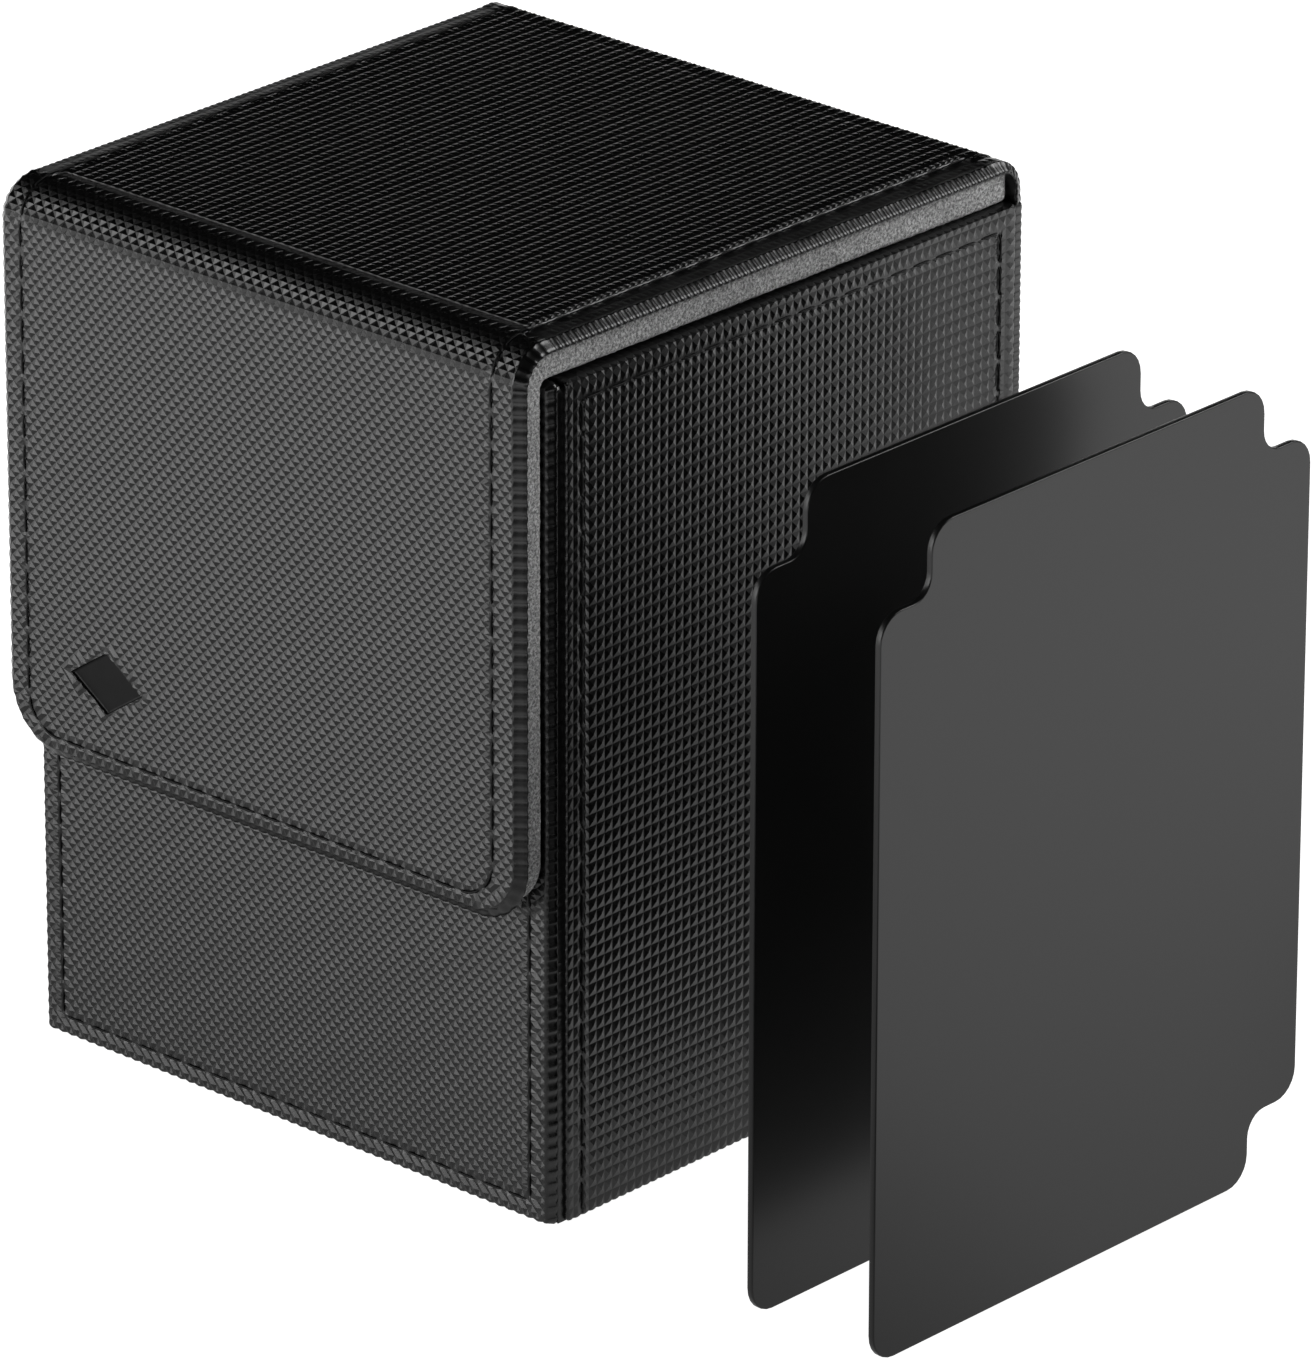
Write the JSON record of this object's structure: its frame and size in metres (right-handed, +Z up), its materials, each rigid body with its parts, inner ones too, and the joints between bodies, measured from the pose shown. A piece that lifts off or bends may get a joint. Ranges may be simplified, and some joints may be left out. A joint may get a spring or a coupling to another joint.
{
  "type": "card deck box",
  "caption": "Leather-covered board deck box for trading cards, with a magnetic flip-over lid, a soft lining and loose plastic dividers.",
  "frame": {"origin": "middle of the underside of the closed box, on the surface it stands on", "axes": "+Z up, the front with the flap faces -Y, the hinge is along the back (+Y), the dividers stand on the +X side"},
  "size_m": [0.1256, 0.0818, 0.104],
  "materials": {
    "leather": "black synthetic leather with a small embossed pyramid grain, satin",
    "greyboard": "matte grey bookbinding board",
    "microfibre": "soft dark grey brushed microfibre",
    "thread": "black polyester sewing thread",
    "magnet": "nickel-plated bar magnet",
    "divider_plastic": "dark grey polypropylene sheet, satin"
  },
  "bodies": {
    "box": {"front_leather": "leather", "back_leather": "leather", "left_leather": "leather", "right_leather": "leather", "bottom_leather": "leather", "front_board": "greyboard", "back_board": "greyboard", "left_board": "greyboard", "right_board": "greyboard", "bottom_board": "greyboard", "front_lining": "microfibre", "back_lining": "microfibre", "left_lining": "microfibre", "right_lining": "microfibre", "bottom_lining": "microfibre", "front_magnets": "magnet", "front_thread": "thread", "back_thread": "thread", "left_thread": "thread", "right_thread": "thread", "hinge_leather": "leather"},
    "lid": {"lid_leather": "leather", "lid_lining": "microfibre", "top_board": "greyboard", "flap_board": "greyboard", "flap_magnets": "magnet", "lid_thread": "thread"},
    "inner_divider": {"inner_divider": "divider_plastic"},
    "outer_divider": {"outer_divider": "divider_plastic"}
  },
  "joints": [
    {"name": "lid_hinge", "type": "hinge", "parent": "box", "child": "lid", "pos_m": [0, 0.0402, 0.1032], "axis": [-1, 0, 0], "range_deg": [0, 175], "deforming": ["hinge_leather"]},
    {"name": "inner_divider_lift", "type": "slide", "parent": "box", "child": "inner_divider", "axis": [0, 0, 1], "range_m": [0, 0.11]},
    {"name": "outer_divider_lift", "type": "slide", "parent": "box", "child": "outer_divider", "axis": [0, 0, 1], "range_m": [0, 0.11]}
  ]
}
